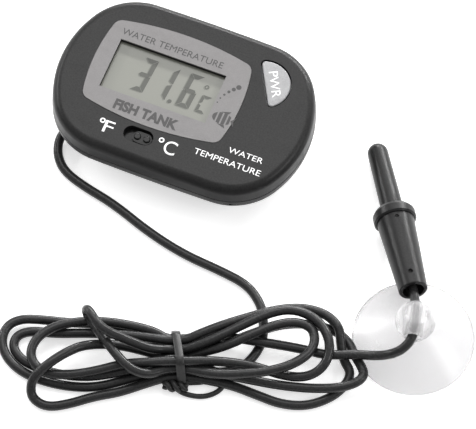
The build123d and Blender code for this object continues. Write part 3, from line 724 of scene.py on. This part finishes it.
def nurbs_curve(name, points, radius, sides, steps=8):
    """One smooth round curve through the pull of its control points."""
    curve = bpy.data.curves.new(name, "CURVE")
    curve.dimensions = "3D"
    line = curve.splines.new("NURBS")
    line.points.add(len(points) - 1)
    for point, place in zip(line.points, points):
        point.co = (*place, 1)
    line.order_u = 3
    line.use_endpoint_u = True
    line.resolution_u = steps
    curve.resolution_u = steps
    curve.bevel_depth = radius
    curve.bevel_resolution = sides
    curve.use_fill_caps = True
    return curve


def bar(start, end, stroke, start_cut, end_cut):
    """The outline of one segment, with slanting ends that leave thin gaps at its neighbours."""
    start, end = Vector(start), Vector(end)
    along = (end - start).normalized()
    across = Vector((-along.y, along.x)) * stroke
    gap = along * SEGMENT_GAP
    return [tuple(p) for p in (
        start + gap, end - gap, end - gap - along * end_cut * stroke + across,
        start + gap + along * start_cut * stroke + across)]


def figure_outlines():
    """Outlines of every dark segment of the display, the decimal dot and the degree sign."""
    outlines = []
    for (cx, cy), (wide, tall), lit in FIGURES:
        x0, x1, y0, y1 = cx - wide / 2, cx + wide / 2, cy - tall / 2, cy + tall / 2
        stroke = FIGURE_STROKE if tall > SMALL_FIGURE else SMALL_STROKE
        shapes = {
            "a": bar((x1, y1), (x0, y1), stroke, 1, 1), "d": bar((x0, y0), (x1, y0), stroke, 1, 1),
            "b": bar((x1, cy), (x1, y1), stroke, 0.5, 1), "c": bar((x1, y0), (x1, cy), stroke, 1, 0.5),
            "e": bar((x0, cy), (x0, y0), stroke, 0.5, 1), "f": bar((x0, y1), (x0, cy), stroke, 1, 0.5),
            "g": [(x0 + 0.12 * stroke + 0.0001, cy), (x0 + 0.6 * stroke, cy + stroke / 2),
                  (x1 - 0.6 * stroke, cy + stroke / 2), (x1 - 0.12 * stroke - 0.0001, cy),
                  (x1 - 0.6 * stroke, cy - stroke / 2), (x0 + 0.6 * stroke, cy - stroke / 2)]}
        for key in lit:
            outlines.append([(x + FIGURE_SLANT * (y - cy), y) for x, y in shapes[key]])
    return [*outlines, disc_outline(DISPLAY_DOT, DISPLAY_DOT_R, 10),
            *ring_outline(DISPLAY_DEGREE, DISPLAY_DEGREE_RADII, 14)]


def fish_outlines():
    """A plain fish: a body in four curved bands, a tail and two fins."""
    (cx, cy), (long, high) = FISH_CENTRE, FISH_SIZE

    def side(u, sign):
        return cx + u * long, cy + sign * high * max(0.0, 1 - u * u) ** 0.5

    bands = []
    for start, end in ((-0.98, -0.62), (-0.46, -0.12), (0.04, 0.38), (0.54, 0.80)):
        steps = [start + (end - start) * k / 5 for k in range(6)]
        bands.append([side(u, 1) for u in steps] + [side(u, -1) for u in reversed(steps)])
    tail = [(cx + 0.86 * long, cy), (cx + 1.30 * long, cy + 0.85 * high),
            (cx + 1.16 * long, cy), (cx + 1.30 * long, cy - 0.85 * high)]
    top = [(cx - 0.30 * long, cy + 1.06 * high), (cx + 0.60 * long, cy + 1.50 * high),
           (cx + 0.42 * long, cy + 1.00 * high)]
    low = [(x, 2 * cy - y) for x, y in reversed(top)]
    return [*bands, tail, top, low]


# ================================================================ geometry node trees
def geometry_tree(name, **inputs):
    """An empty geometry node tree with named inputs: the tree, its given values and its end."""
    tree = bpy.data.node_groups.new(name, "GeometryNodeTree")
    for socket, kind in {**inputs, "Finish": "Material"}.items():
        tree.interface.new_socket(socket, in_out="INPUT", socket_type="NodeSocket" + kind)
    tree.interface.new_socket("Geometry", in_out="OUTPUT", socket_type="NodeSocketGeometry")
    return tree, tree.nodes.new("NodeGroupInput").outputs, tree.nodes.new("NodeGroupOutput")


def end_tree(tree, given, out, copies):
    """Realises the copies and gives them their finish."""
    real = add_node(tree, "GeometryNodeRealizeInstances", Geometry=copies.outputs[0])
    coat = add_node(tree, "GeometryNodeSetMaterial", Geometry=real.outputs[0], Material=given["Finish"])
    feed(tree, out.inputs[0], coat.outputs[0])
    return tree


def bubble_tree():
    """Round dots along a bent line, from the smallest to the largest."""
    tree, given, out = geometry_tree(
        "Bubble trail", Start="Vector", Bend="Vector", End="Vector", Count="Int", Smallest="Float",
        Largest="Float", Thickness="Float")
    line = add_node(tree, "GeometryNodeCurveQuadraticBezier", Resolution=24, Start=given["Start"],
                    Middle=given["Bend"], End=given["End"])
    points = add_node(tree, "GeometryNodeCurveToPoints", Curve=line.outputs[0], Count=given["Count"])
    dot = add_node(tree, "GeometryNodeMeshCylinder", Vertices=24, Radius=1.0, Depth=given["Thickness"])
    last = maths(tree, "SUBTRACT", given["Count"], 1.0)
    index = tree.nodes.new("GeometryNodeInputIndex").outputs[0]
    share = maths(tree, "POWER", maths(tree, "DIVIDE", index, last), 1.6)
    span = maths(tree, "SUBTRACT", given["Largest"], given["Smallest"])
    radius = maths(tree, "MULTIPLY_ADD", share, span, given["Smallest"])
    scale = add_node(tree, "ShaderNodeCombineXYZ", X=radius, Y=radius, Z=1.0)
    copies = add_node(tree, "GeometryNodeInstanceOnPoints", Points=points.outputs["Points"],
                      Instance=dot.outputs["Mesh"], Scale=scale.outputs[0])
    return end_tree(tree, given, out, copies)


def rib_ring_tree():
    """Short radial ribs round a circle."""
    tree, given, out = geometry_tree("Rib ring", Count="Int", Radius="Float", Length="Float", Width="Float")
    ring = add_node(tree, "GeometryNodeMeshCircle", Vertices=given["Count"], Radius=given["Radius"])
    points = add_node(tree, "GeometryNodeMeshToPoints", Mesh=ring.outputs[0])
    size = add_node(tree, "ShaderNodeCombineXYZ", X=given["Length"], Y=given["Width"], Z=given["Width"])
    rib = add_node(tree, "GeometryNodeMeshCube", Size=size.outputs[0])
    share = maths(tree, "DIVIDE", tree.nodes.new("GeometryNodeInputIndex").outputs[0], given["Count"])
    turn = add_node(tree, "ShaderNodeCombineXYZ", Z=maths(tree, "MULTIPLY", share, 2 * math.pi))
    copies = add_node(tree, "GeometryNodeInstanceOnPoints", Points=points.outputs[0],
                      Instance=rib.outputs["Mesh"], Rotation=turn.outputs[0])
    return end_tree(tree, given, out, copies)


def grown(name, tree, **values):
    """The mesh that a geometry node tree makes from its inputs alone."""
    def add_tree(host):
        maker = host.modifiers.new(tree.name, "NODES")
        maker.node_group = tree
        for item in tree.interface.items_tree:
            if item.in_out == "INPUT":
                maker[item.identifier] = values[item.name]

    return shown_mesh(name, bpy.data.meshes.new(name + ".source"), add_tree)


# ================================================================ operators
class THERMO_OT_lead(bpy.types.Operator):
    """Lays the lead from the unit through its hank and the cup to the probe"""
    bl_idname = "thermo.lead"
    bl_label = "Lead"

    def execute(self, context):
        settings = context.scene.thermo_lead
        curve = nurbs_curve("lead", lead_points(), settings.diameter / 2, settings.sides)
        lead = bpy.data.objects.new("lead", curve)
        context.scene.collection.objects.link(lead)
        curve.materials.append(soft_sheath("Lead sheath", settings.colour, 0.25))
        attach(lead, "housing")
        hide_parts("cord_lead", "cord_hank", "cord_tail")
        return {"FINISHED"}


def tie_outline(gap):
    """The taut path of the tie round the lead's passes through the waist, across and up."""
    path = []
    for step in range(TIE_STEPS):
        turn = 2 * math.pi * step / TIE_STEPS
        away = (math.cos(turn), math.sin(turn))
        slot = max(WAIST_SLOTS, key=lambda s: s[0] * away[0] + s[1] * away[1])
        path.append((slot[0] + gap * away[0], slot[1] + gap * away[1], away))
    return path


def tie_band():
    """A flat coated strap round the waist, a little narrower where it is pulled in."""
    work = bmesh.new()
    rings = []
    for v, z, away in tie_outline(CORD_DIAMETER / 2 + TIE_GAP):
        u = TIE_MIDDLE - TIE_SLANT * v
        half = TIE_WIDTH / 2 * (0.86 + 0.14 * abs(away[0]))
        ring = []
        for step in range(TIE_SECTION):
            turn = 2 * math.pi * (step + 0.5) / TIE_SECTION
            across = half * math.copysign(abs(math.cos(turn)) ** 0.6, math.cos(turn))
            out = TIE_THICK / 2 * (1 + math.copysign(abs(math.sin(turn)) ** 0.6, math.sin(turn)))
            ring.append(work.verts.new(in_hank((u + across, v + away[0] * out, z + away[1] * out))))
        rings.append(ring)
    for a, b in zip(rings, rings[1:] + rings[:1]):
        for k in range(TIE_SECTION):
            work.faces.new((a[k], a[k - 1], b[k - 1], b[k]))
    bmesh.ops.recalc_face_normals(work, faces=work.faces)
    return saved("hank_tie_band", work)


def tie_wire(name, points):
    """A round smooth wire through the pull of points in the hank's own directions."""
    return shown_mesh(name, nurbs_curve(name, [in_hank(p) for p in points], TIE_WIRE_R, 4, 6))


class THERMO_OT_tie(bpy.types.Operator):
    """Ties the hank with a coated wire: a strap, its twist and the small loop that it ends in"""
    bl_idname = "thermo.tie"
    bl_label = "Hank tie"

    def execute(self, context):
        twists = []
        for phase in (0.0, math.pi):
            strand = []
            for step in range(TWIST_STEPS + 1):
                along = step / TWIST_STEPS
                turn = phase + 2 * math.pi * TWIST_TURNS * along
                swell = TWIST_R * math.sin(math.pi * min(0.95, 0.12 + 0.8 * along))
                strand.append((
                    TWIST_START[0] + TWIST_LENGTH * along,
                    TWIST_START[1] - TWIST_DROP * along + swell * math.cos(turn),
                    TWIST_START[2] + swell * math.sin(turn)))
            twists.append(tie_wire("twist", strand))
        mesh = joined("hank_tie_wire", [tie_band(), *twists, tie_wire("loop", TIE_LOOP)])
        smooth(mesh, 50.0)
        piece = finished("hank_tie_wire", mesh, "housing", "tie_pvc",
                         soft_sheath("Tie coating", (0.010, 0.010, 0.010), 0.36))
        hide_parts("hank_tie")
        return {"FINISHED"}


class THERMO_OT_covers(bpy.types.Operator):
    """Finishes both covers, the battery door, the screws and the strain relief"""
    bl_idname = "thermo.covers"
    bl_label = "Covers"

    def execute(self, context):
        settings = context.scene.thermo_unit
        plastic = moulded_plastic("Cover plastic", settings.cover, 0.33, 1.0 / settings.grain, 0.000014,
                                  dust=0.05, IOR=1.27)
        for node in ("front_cover", "rear_cover"):
            node_copy(node, node + "_shell", "housing", "cover_plastic", plastic)
        node_copy("battery_door", "battery_door_shell", "battery_door", "cover_plastic", plastic)
        steel = sheet_metal("Zinc plate", (0.42, 0.42, 0.43), 0.34)
        node_copy("cover_screws", "cover_screw_set", "housing", "screw_steel", steel)
        node_copy("board_screws", "board_screw_set", "housing", "screw_steel", steel)
        boot = soft_sheath("Strain relief rubber", (0.02, 0.02, 0.021), 0.45)
        node_copy("strain_relief", "strain_relief_boot", "housing", "lead_pvc", boot)
        return {"FINISHED"}


class THERMO_OT_door_grip(bpy.types.Operator):
    """Raises a ring of short ribs round the battery door, as a grip for its turning"""
    bl_idname = "thermo.door_grip"
    bl_label = "Door grip"

    def execute(self, context):
        plastic = bpy.data.materials["Cover plastic"]
        mesh = grown("door_grip_ribs", rib_ring_tree(), Count=DOOR_RIBS, Radius=DOOR_RIB_RING,
                     Length=DOOR_RIB_LENGTH, Width=DOOR_RIB_WIDTH, Finish=plastic)
        mesh.transform(Matrix.Translation((*DOOR_CENTRE, DOOR_RIB_LIFT)))
        smooth(mesh, 40.0)
        finished("door_grip_ribs", mesh, "battery_door", "cover_plastic", plastic)
        return {"FINISHED"}


class THERMO_OT_surround(bpy.types.Operator):
    """Finishes the metallic plate round the display"""
    bl_idname = "thermo.surround"
    bl_label = "Surround"

    def execute(self, context):
        settings = context.scene.thermo_unit
        paint = flecked_paint("Surround paint", settings.surround, 0.42, 0.25, 5200.0, 0.16, 0.000006,
                              Coat_Weight=0.15, Coat_Roughness=0.3)
        node_copy("faceplate", "surround_plate", "housing", "surround_metal", paint)
        return {"FINISHED"}


class THERMO_OT_display(bpy.types.Operator):
    """Finishes the display, raises its figures and paints their shadow under them"""
    bl_idname = "thermo.display"
    bl_label = "Display"

    def execute(self, context):
        settings = context.scene.thermo_unit
        film, tree, skin = surface("Display film", 0.30, Coat_Weight=0.25, Coat_Roughness=0.12)
        place = object_place(tree)
        lighter = [c * share for c, share in zip(settings.display, (1.10, 1.06, 1.08))]
        feed(tree, skin["Base Color"],
             blend_colours(tree, noise(tree, place, 45.0, 1.0), settings.display, lighter))
        bump(tree, skin, noise(tree, place, 3000.0, 2.0), 0.000003)
        node_copy("display_front_film", "display_film", "housing", "display_film", film)
        clear = clear_plastic("Display glass", (0.85, 0.88, 0.84))
        for node in ("display_front_glass", "display_rear_glass"):
            node_copy(node, node + "_pane", "housing", "display_glass", clear)
        dark = printed_ink("Segment", settings.segment, 0.35)
        # Painted shadow: the figures' shadow on the reflector is painted as paler copies of the segments,
        # shifted by SHADOW_SHIFT and lying under them
        pale = printed_ink("Segment shadow", [0.45 * a + 0.55 * b for a, b in zip(
            settings.segment, settings.display)], 0.35)
        for name, ink, shift, lift in (("figure_shadows", pale, SHADOW_SHIFT, 0.00001),
                                       ("figures", dark, (0.0, 0.0), 0.00002)):
            outlines = [[(x + shift[0], y + shift[1]) for x, y in outline] for outline in figure_outlines()]
            mesh = plate_from_outlines(name, outlines, FILM_TOP, lift)
            finished(name, mesh, "housing", "display_film", ink)
        return {"FINISHED"}


class THERMO_OT_lettering(bpy.types.Operator):
    """Prints the plain words and signs on the covers, the surround and the button"""
    bl_idname = "thermo.lettering"
    bl_label = "Lettering"

    def execute(self, context):
        white = printed_ink("White ink", (0.90, 0.90, 0.90))
        grey = printed_ink("Grey ink", (0.045, 0.043, 0.043))
        for words, centre, size, turn, bold, place in WORDS:
            top, body, slot, ink = {
                "plate": (PLATE_TOP, "housing", "surround_metal", grey),
                "face": (FACE, "housing", "cover_plastic", white),
                "button": (BUTTON_TOP, "power_button", "button_plastic", white)}[place]
            mesh = text_mesh(words, centre, size, turn, bold, top)
            finished("words_" + words.replace(" ", "_").lower(), mesh, body, slot, ink)
        rings = [cell for centre in DEGREE_RINGS for cell in ring_outline(centre, DEGREE_RADII)]
        mesh = plate_from_outlines("degree_signs", rings, FACE, INK_LIFT)
        finished("degree_signs", mesh, "housing", "cover_plastic", white)
        return {"FINISHED"}


class THERMO_OT_fish(bpy.types.Operator):
    """Prints a plain striped fish and the bubbles that rise from it"""
    bl_idname = "thermo.fish"
    bl_label = "Fish and bubbles"

    def execute(self, context):
        grey = bpy.data.materials["Grey ink"]
        mesh = plate_from_outlines("fish", fish_outlines(), PLATE_TOP, INK_LIFT)
        finished("fish_print", mesh, "housing", "surround_metal", grey)
        start, bend, end = ((*place, PLATE_TOP) for place in BUBBLE_TRAIL)
        smallest, largest = BUBBLE_RADII
        mesh = grown("bubble_print", bubble_tree(), Start=start, Bend=bend, End=end, Count=BUBBLES,
                     Smallest=smallest, Largest=largest, Thickness=INK_LIFT, Finish=grey)
        finished("bubble_print", mesh, "housing", "surround_metal", grey)
        return {"FINISHED"}


class THERMO_OT_button(bpy.types.Operator):
    """Finishes the silver push button"""
    bl_idname = "thermo.button"
    bl_label = "Push button"

    def execute(self, context):
        settings = context.scene.thermo_unit
        paint = flecked_paint("Button paint", settings.button, 0.38, 0.15, 4200.0, 0.34, 0.000010,
                              Coat_Weight=0.2, Coat_Roughness=0.25)
        node_copy("power_button", "power_button_cap", "power_button", "button_plastic", paint)
        return {"FINISHED"}


class THERMO_OT_unit_switch(bpy.types.Operator):
    """Finishes the black sliding knob"""
    bl_idname = "thermo.unit_switch"
    bl_label = "Unit switch"

    def execute(self, context):
        gloss = moulded_plastic("Knob plastic", (0.006, 0.006, 0.006), 0.20, 1500.0, 0.000006,
                                dust=0.02, marks=0.05, IOR=1.3)
        node_copy("unit_switch_knob", "unit_switch_slider", "unit_switch", "knob_plastic", gloss)
        return {"FINISHED"}


class THERMO_OT_probe(bpy.types.Operator):
    """Finishes the probe's sleeve and tube and the resin that seals them"""
    bl_idname = "thermo.probe"
    bl_label = "Probe"

    def execute(self, context):
        colour = context.scene.thermo_probe.colour
        plastic = moulded_plastic("Probe plastic", colour, 0.33, 1800.0, 0.000012,
                                  dust=0.04, marks=0.12, IOR=1.30)
        resin = moulded_plastic("Potting resin", (0.010, 0.010, 0.010), 0.30, 500.0, 0.0002)
        node_copy("probe_sleeve", "probe_sleeve_shell", "housing", "probe_plastic", plastic)
        node_copy("probe_tube", "probe_tube_shell", "housing", "probe_plastic", plastic)
        node_copy("probe_potting", "probe_potting_plug", "housing", "potting_resin", resin)
        return {"FINISHED"}


class THERMO_OT_suction_cup(bpy.types.Operator):
    """Finishes the clear suction cup"""
    bl_idname = "thermo.suction_cup"
    bl_label = "Suction cup"

    def execute(self, context):
        clear = clear_plastic("Clear cup", context.scene.thermo_probe.cup, 0.26, 0.80, 0.20)
        node_copy("suction_cup", "suction_cup_body", "suction_cup", "clear_pvc", clear, 40.0)
        return {"FINISHED"}


class THERMO_OT_inside(bpy.types.Operator):
    """Finishes what the covers and the probe hold inside"""
    bl_idname = "thermo.inside"
    bl_label = "Inside"

    def execute(self, context):
        finishes = {
            "board": banded_paint("Solder mask", (0.02, 0.13, 0.05), (0.03, 0.20, 0.08), 0.0011, 0.3),
            "rubber": banded_paint(
                "Contact strip rubber", (0.55, 0.28, 0.30), (0.05, 0.05, 0.05), 0.0005, 0.6),
            "resin": moulded_plastic("Chip resin", (0.014, 0.014, 0.014), 0.28, 900.0, 0.00002),
            "steel": sheet_metal("Nickel plate", (0.60, 0.60, 0.59), 0.25),
            "brass": sheet_metal("Spring brass", (0.70, 0.55, 0.26), 0.30),
            "frame": moulded_plastic("Frame plastic", (0.55, 0.55, 0.52), 0.45, 1500.0, 0.00001),
            "switch": moulded_plastic("Switch plastic", (0.025, 0.025, 0.025), 0.4, 1500.0, 0.00001),
            "ceramic": moulded_plastic("Ceramic", (0.40, 0.28, 0.16), 0.5, 2500.0, 0.00001),
            "reflector": moulded_plastic("Reflector film", (0.45, 0.50, 0.40), 0.5, 3000.0, 0.000004),
            "wire": moulded_plastic("Wire coating", (0.50, 0.05, 0.04), 0.4, 2000.0, 0.00001)}
        for node, (finish, slot, body) in INSIDE.items():
            node_copy(node, node + "_part", body, slot, finishes[finish])
        return {"FINISHED"}


class THERMO_OT_stage(bpy.types.Operator):
    """Floor, soft lights and the camera"""
    bl_idname = "thermo.stage"
    bl_label = "Stage"

    def execute(self, context):
        scene, settings = context.scene, context.scene.thermo_stage
        paper, _, skin = surface("Paper sweep", 0.9, Specular_IOR_Level=0.0)
        skin["Base Color"].default_value = (*settings.floor, 1)
        skin["Emission Color"].default_value = (1.0, 1.0, 1.0, 1)
        skin["Emission Strength"].default_value = settings.glow
        work = bmesh.new()
        bmesh.ops.create_grid(work, x_segments=1, y_segments=1, size=FLOOR_HALF)
        floor = bpy.data.objects.new("floor", saved("floor", work))
        floor.data.materials.append(paper)
        scene.collection.objects.link(floor)
        world = bpy.data.worlds.new("Studio")
        scene.world = world
        world.use_nodes = True
        sky = world.node_tree
        light = sky.nodes["Background"].inputs
        light["Color"].default_value = (1.0, 1.0, 1.0, 1)
        way = sky.nodes.new("ShaderNodeTexCoord").outputs["Generated"]
        height = add_node(sky, "ShaderNodeSeparateXYZ", Vector=way).outputs["Z"]
        upward = maths(sky, "MAXIMUM", height, 0.0)
        feed(sky, light["Strength"],
             maths(sky, "MULTIPLY_ADD", upward, settings.overhead, settings.horizon))
        for name, (place, size, share) in LAMPS.items():
            lamp = bpy.data.lights.new(name, "AREA")
            lamp.shape = "RECTANGLE"
            lamp.size, lamp.size_y = size
            lamp.energy = settings.key * share
            stand = bpy.data.objects.new(name, lamp)
            stand.location = place
            stand.rotation_euler = (LAMP_TARGET - Vector(place)).to_track_quat("-Z", "Y").to_euler()
            scene.collection.objects.link(stand)
        back = Vector((math.sin(CAMERA_TURN) * math.cos(CAMERA_RISE),
                       -math.cos(CAMERA_TURN) * math.cos(CAMERA_RISE), math.sin(CAMERA_RISE)))
        lens = bpy.data.cameras.new("camera")
        lens.sensor_width = SENSOR
        lens.lens = FOCAL_LENGTH
        lens.clip_start, lens.clip_end = CAMERA_CLIP
        camera = bpy.data.objects.new("camera", lens)
        camera.location = CAMERA_AIM + back * settings.distance
        camera.rotation_euler = (-back).to_track_quat("-Z", "Y").to_euler()
        scene.collection.objects.link(camera)
        scene.camera = camera
        scene.view_settings.view_transform = "Standard"
        scene.view_settings.look = "None"
        return {"FINISHED"}


OPERATORS = (
    THERMO_OT_lead, THERMO_OT_tie, THERMO_OT_covers, THERMO_OT_door_grip, THERMO_OT_surround,
    THERMO_OT_display, THERMO_OT_lettering, THERMO_OT_fish, THERMO_OT_button, THERMO_OT_unit_switch,
    THERMO_OT_probe, THERMO_OT_suction_cup, THERMO_OT_inside, THERMO_OT_stage)
SETTINGS = {"thermo_unit": UnitSettings, "thermo_lead": LeadSettings, "thermo_probe": ProbeSettings,
            "thermo_stage": StageSettings}


class THERMO_PT_sidebar(bpy.types.Panel):
    """Lists the thermometer's settings and the steps that make it"""
    bl_idname = "THERMO_PT_sidebar"
    bl_label = "Thermometer"
    bl_space_type = "VIEW_3D"
    bl_region_type = "UI"
    bl_category = "Thermometer"

    def draw(self, context):
        for kind in OPERATORS:
            self.layout.operator(kind.bl_idname)
        for name, kind in SETTINGS.items():
            box = self.layout.box()
            for setting in kind.__annotations__:
                box.prop(getattr(context.scene, name), setting)


def register():
    for name, kind in SETTINGS.items():
        bpy.utils.register_class(kind)
        setattr(bpy.types.Scene, name, PointerProperty(type=kind))
    for kind in (*OPERATORS, THERMO_PT_sidebar):
        bpy.utils.register_class(kind)


def unregister():
    for kind in reversed((*OPERATORS, THERMO_PT_sidebar)):
        bpy.utils.unregister_class(kind)
    for name, kind in SETTINGS.items():
        delattr(bpy.types.Scene, name)
        bpy.utils.unregister_class(kind)


def main():
    register()
    for kind in OPERATORS:
        group, name = kind.bl_idname.split(".")
        getattr(getattr(bpy.ops, group), name)()


if __name__ == "__main__":
    main()
